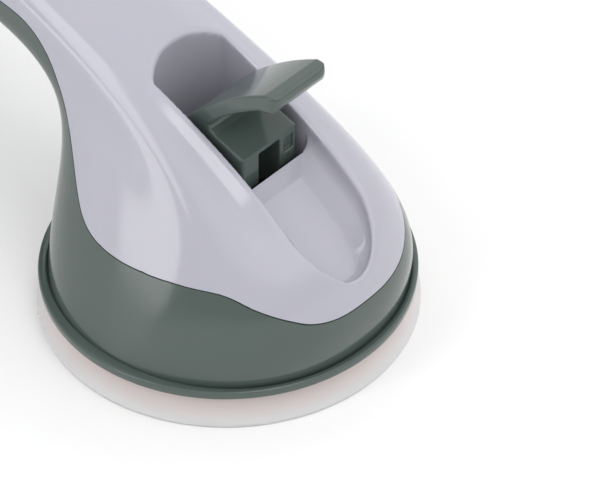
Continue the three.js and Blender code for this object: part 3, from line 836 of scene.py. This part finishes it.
def soft_elastomer():
    """Milky translucent cup material with painted shade: darker and warmer towards its top, where it goes up under
    the flange.
    """
    m, nodes, links, shader = new_material("cup_elastomer", CUP_PALE, 0.3)
    split = nodes.new("ShaderNodeSeparateXYZ")
    links.new(texture_coords(nodes), split.inputs["Vector"])
    # painted shade: blends the cup from pale at its lip to darker and warmer under the flange
    flange_shade_blend = ramp_between(nodes, links, split.outputs["Z"], 0, 1, 2 * MM, CUP_HIGH[2] * MM)
    cloud = noise(nodes, links, 60, 4)
    links.new(colour_between(nodes, links, flange_shade_blend, CUP_PALE, CUP_UNDER_FLANGE_SHADE), shader.inputs["Base Color"])
    links.new(ramp_between(nodes, links, cloud, 0.26, 0.42), shader.inputs["Roughness"])
    shader.inputs["Subsurface Weight"].default_value = 0.8
    shader.inputs["Subsurface Radius"].default_value = (1.0, 0.75, 0.7)
    shader.inputs["Subsurface Scale"].default_value = 0.006
    shader.inputs["IOR"].default_value = 1.41
    add_bump(nodes, links, shader, noise(nodes, links, 1500, 2), 0.04, 0.00004)
    return m


def drawn_steel():
    m, nodes, links, shader = new_material("bright_steel", (0.55, 0.56, 0.57), 0.28)
    shader.inputs["Metallic"].default_value = 1
    grain = noise(nodes, links, 1200, 6, 0.7)
    links.new(ramp_between(nodes, links, grain, 0.2, 0.4), shader.inputs["Roughness"])
    streaks = ramp_between(nodes, links, grain, 0, 1)
    links.new(colour_between(nodes, links, streaks, (0.5, 0.51, 0.52), (0.62, 0.63, 0.64)),
              shader.inputs["Base Color"])
    add_bump(nodes, links, shader, grain, 0.1, 0.00005)
    return m


def natural_nylon():
    m, nodes, links, shader = new_material("natural_nylon", (0.72, 0.70, 0.64), 0.45)
    grain = noise(nodes, links, 500, 5)
    links.new(ramp_between(nodes, links, grain, 0.38, 0.55), shader.inputs["Roughness"])
    mottle = ramp_between(nodes, links, grain, 0, 1)
    links.new(colour_between(nodes, links, mottle, (0.70, 0.68, 0.62), (0.75, 0.73, 0.68)),
              shader.inputs["Base Color"])
    add_bump(nodes, links, shader, grain, 0.08, 0.00005)
    shader.inputs["Subsurface Weight"].default_value = 0.2
    shader.inputs["Subsurface Scale"].default_value = 0.003
    return m


LAVENDER = (0.435, 0.435, 0.5)
LAVENDER_WARM = (0.445, 0.44, 0.502)
GREY_GREEN = (0.07, 0.095, 0.087)
GREY_GREEN_WARM = (0.075, 0.101, 0.091)
MATERIALS = {
    "shell": moulded_plastic("shell_lavender_white", LAVENDER, LAVENDER_WARM, 0.1),
    "green": moulded_plastic("shell_grey_green", GREY_GREEN, GREY_GREEN_WARM, 0.13),
    "cup": soft_elastomer(),
    "steel": drawn_steel(),
    "nylon": natural_nylon(),
}
SLOT_OF = {row["node"]: row["material_slot"] for row in frame["record"]["subparts"]}


def dress(obj, slot_name):
    """Gives a piece its material."""
    obj.data.materials.clear()
    obj.data.materials.append(MATERIALS[slot_name])


def place(obj, slot_name, body, node=None):
    """Dresses a piece and puts it on a body, in place of a CAD node if one is named."""
    dress(obj, slot_name)
    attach(obj, body)
    if node:
        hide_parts(node)


def soften_edges(obj, width):
    """Rounds a CAD node's edges a little, for looks only."""
    bevel = obj.modifiers.new("soft_edges", "BEVEL")
    bevel.width = width * MM
    bevel.segments = 2
    bevel.limit_method = "ANGLE"
    bevel.angle_limit = math.radians(40)
    bevel.harden_normals = True


# ---------- putting the object together ----------
def dress_cad_nodes():
    for name, node in frame["nodes"].items():
        dress(node, SLOT_OF[name])
        if name.startswith(("pull_post", "backing_disc", "wear_plate")):
            soften_edges(node, 0.25)


def add_shells():
    upper = build_shell("upper_shell_fine", "upper_shell", upper_field, -SEAM_GAP)
    lower = build_shell("lower_shell_fine", "lower_shell", lower_field, SEAM_GAP)
    place(upper, "shell", "housing", "upper_shell")
    place(lower, "green", "housing", "lower_shell")


def add_spring(end, letter):
    """A wound wire spring in place of the CAD node, with its own copy of the mesh; its top stays fixed."""
    node = "return_spring_" + letter
    spring = build_spring(end)
    place(spring, "steel", "housing", node)
    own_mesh(spring)


def add_end(end, letter):
    place(build_lever(end), "green", "lever_body_" + letter, "lever_" + letter)
    skirt, membrane = build_cup(end)
    place(skirt, "cup", "housing", "suction_cup_" + letter)
    place(membrane, "cup", "housing")
    place(build_flange(end), "green", "housing")
    add_spring(end, letter)


dress_cad_nodes()
add_shells()
for which_end, end_letter in LETTER.items():
    add_end(which_end, end_letter)


# ---------- studio ----------
FLOOR_REACH = 6.0
FLOOR_Z = -0.0001                             # just under the cups, so that the two faces don't flicker
LAMP_AIM_Z = 0.05                             # half the height of the housing
# Each lamp: name, compass direction, angle above the horizon, distance, width and height, brightness.
SOFTBOXES = (
    ("side_window", -25, 3, 0.62, (0.14, 0.12), 3.0),
    ("streak_strip", -17, 36, 0.8, (0.15, 0.75), 3.0),
    ("top_softbox", 90, 72, 0.9, (0.35, 0.35), 3.8),
    ("front_fill", 60, 50, 1.4, (0.6, 0.5), 0.25),
)


def studio():
    """A plain pale floor, soft lamps and plain white surroundings."""
    mesh = bpy.data.meshes.new("studio_floor")
    reach = FLOOR_REACH
    corners = [(-reach, -reach, 0), (reach, -reach, 0), (reach, reach, 0), (-reach, reach, 0)]
    mesh.from_pydata(corners, [], [(0, 1, 2, 3)])
    floor = collection_add("studio_floor", mesh)
    floor.location.z = FLOOR_Z
    m, nodes, links, shader = new_material("pale_floor", (0.92, 0.92, 0.92), 0.6)
    links.new(ramp_between(nodes, links, noise(nodes, links, 3), 0.55, 0.65), shader.inputs["Roughness"])
    floor.data.materials.append(m)
    world = bpy.data.worlds.new("studio_world")
    bpy.context.scene.world = world
    world.use_nodes = True
    sky_gradient(world.node_tree)
    for lamp in SOFTBOXES:
        softbox(*lamp)


# Each band of the surroundings: its middle brightness and how that leans towards +X and +Y.
LOW_BAND = (0.41, (-0.24, 0.58, 0))
MIDDLE_BAND = (1.22, (0.48, 0.27, 0))
OVERHEAD = 0.82
DARKEST = 0.5                                 # nowhere in the surroundings is darker than this


def sky_gradient(tree):
    """Plain white surroundings: dim near the horizon in front, brightest half-way up towards +X."""
    nodes, links = tree.nodes, tree.links
    direction = nodes.new("ShaderNodeTexCoord").outputs["Generated"]
    split = nodes.new("ShaderNodeSeparateXYZ")
    links.new(direction, split.inputs["Vector"])

    def leaning(middle, lean):
        dot = nodes.new("ShaderNodeVectorMath")
        dot.operation = "DOT_PRODUCT"
        links.new(direction, dot.inputs[0])
        dot.inputs[1].default_value = lean
        total = nodes.new("ShaderNodeMath")
        total.operation = "ADD"
        total.inputs[1].default_value = middle
        links.new(dot.outputs["Value"], total.inputs[0])
        return total.outputs["Value"]

    def blend(height, start, end, below, above):
        step = nodes.new("ShaderNodeMapRange")
        step.interpolation_type = "SMOOTHSTEP"
        step.inputs["From Min"].default_value = start
        step.inputs["From Max"].default_value = end
        links.new(height, step.inputs["Value"])
        mix = nodes.new("ShaderNodeMix")
        links.new(step.outputs["Result"], mix.inputs["Factor"])
        links.new(below, mix.inputs["A"])
        if isinstance(above, float):
            mix.inputs["B"].default_value = above
        else:
            links.new(above, mix.inputs["B"])
        return mix.outputs["Result"]

    height = split.outputs["Z"]
    lower = blend(height, 0.25, 0.5, leaning(*LOW_BAND), leaning(*MIDDLE_BAND))
    strength = blend(height, 0.7, 0.86, lower, OVERHEAD)
    limited = nodes.new("ShaderNodeMath")
    limited.operation = "MAXIMUM"
    limited.inputs[1].default_value = DARKEST
    links.new(strength, limited.inputs[0])
    background = nodes["Background"]
    background.inputs["Color"].default_value = (1, 1, 1, 1)
    links.new(limited.outputs["Value"], background.inputs["Strength"])


def direction_of(azimuth, elevation):
    """Unit vector towards a compass direction in degrees: 0 is -Y, 90 is +X."""
    a, e = math.radians(azimuth), math.radians(elevation)
    return Vector((math.sin(a) * math.cos(e), -math.cos(a) * math.cos(e), math.sin(e)))


def softbox(name, azimuth, elevation, distance, size, radiance):
    """A rectangular light that faces the +X housing from a compass direction."""
    target = Vector((MID * MM, 0, LAMP_AIM_Z))
    position = target + distance * direction_of(azimuth, elevation)
    data = bpy.data.lights.new(name, "AREA")
    data.shape = "RECTANGLE"
    data.size, data.size_y = size
    data.energy = radiance * math.pi * size[0] * size[1]
    lamp = bpy.data.objects.new(name, data)
    lamp.location = position
    lamp.rotation_euler = (target - position).to_track_quat("-Z", "Y").to_euler()
    bpy.context.scene.collection.objects.link(lamp)


CAMERA_AZIMUTH = 43.5
CAMERA_ELEVATION = 42.5
CAMERA_DISTANCE = 0.8
SENSOR = 36.0                                 # sensor width and focal length in millimetres
LENS = 185.5
FLANGE_MIDDLE = 1.5                           # height above the flange plane that the camera is set by
AIM_RIGHT = 0.0176                            # where it looks, from the middle of the flange
AIM_UP = 0.0029


def camera():
    """Looks down on the +X end, as a long lens a little under a metre away."""
    back = direction_of(CAMERA_AZIMUTH, CAMERA_ELEVATION)
    right = direction_of(CAMERA_AZIMUTH + 90, 0)
    up = back.cross(right)
    flange = Vector((MID * MM, 0, (FLANGE_Z + FLANGE_MIDDLE) * MM))
    data = bpy.data.cameras.new("camera")
    data.sensor_width = SENSOR
    data.lens = LENS
    cam = bpy.data.objects.new("camera", data)
    aim = flange + right * AIM_RIGHT + up * AIM_UP
    cam.location = flange + back * CAMERA_DISTANCE
    cam.rotation_euler = (aim - cam.location).to_track_quat("-Z", "Y").to_euler()
    bpy.context.scene.collection.objects.link(cam)
    bpy.context.scene.camera = cam


studio()
camera()
bpy.context.scene.view_settings.view_transform = "Standard"
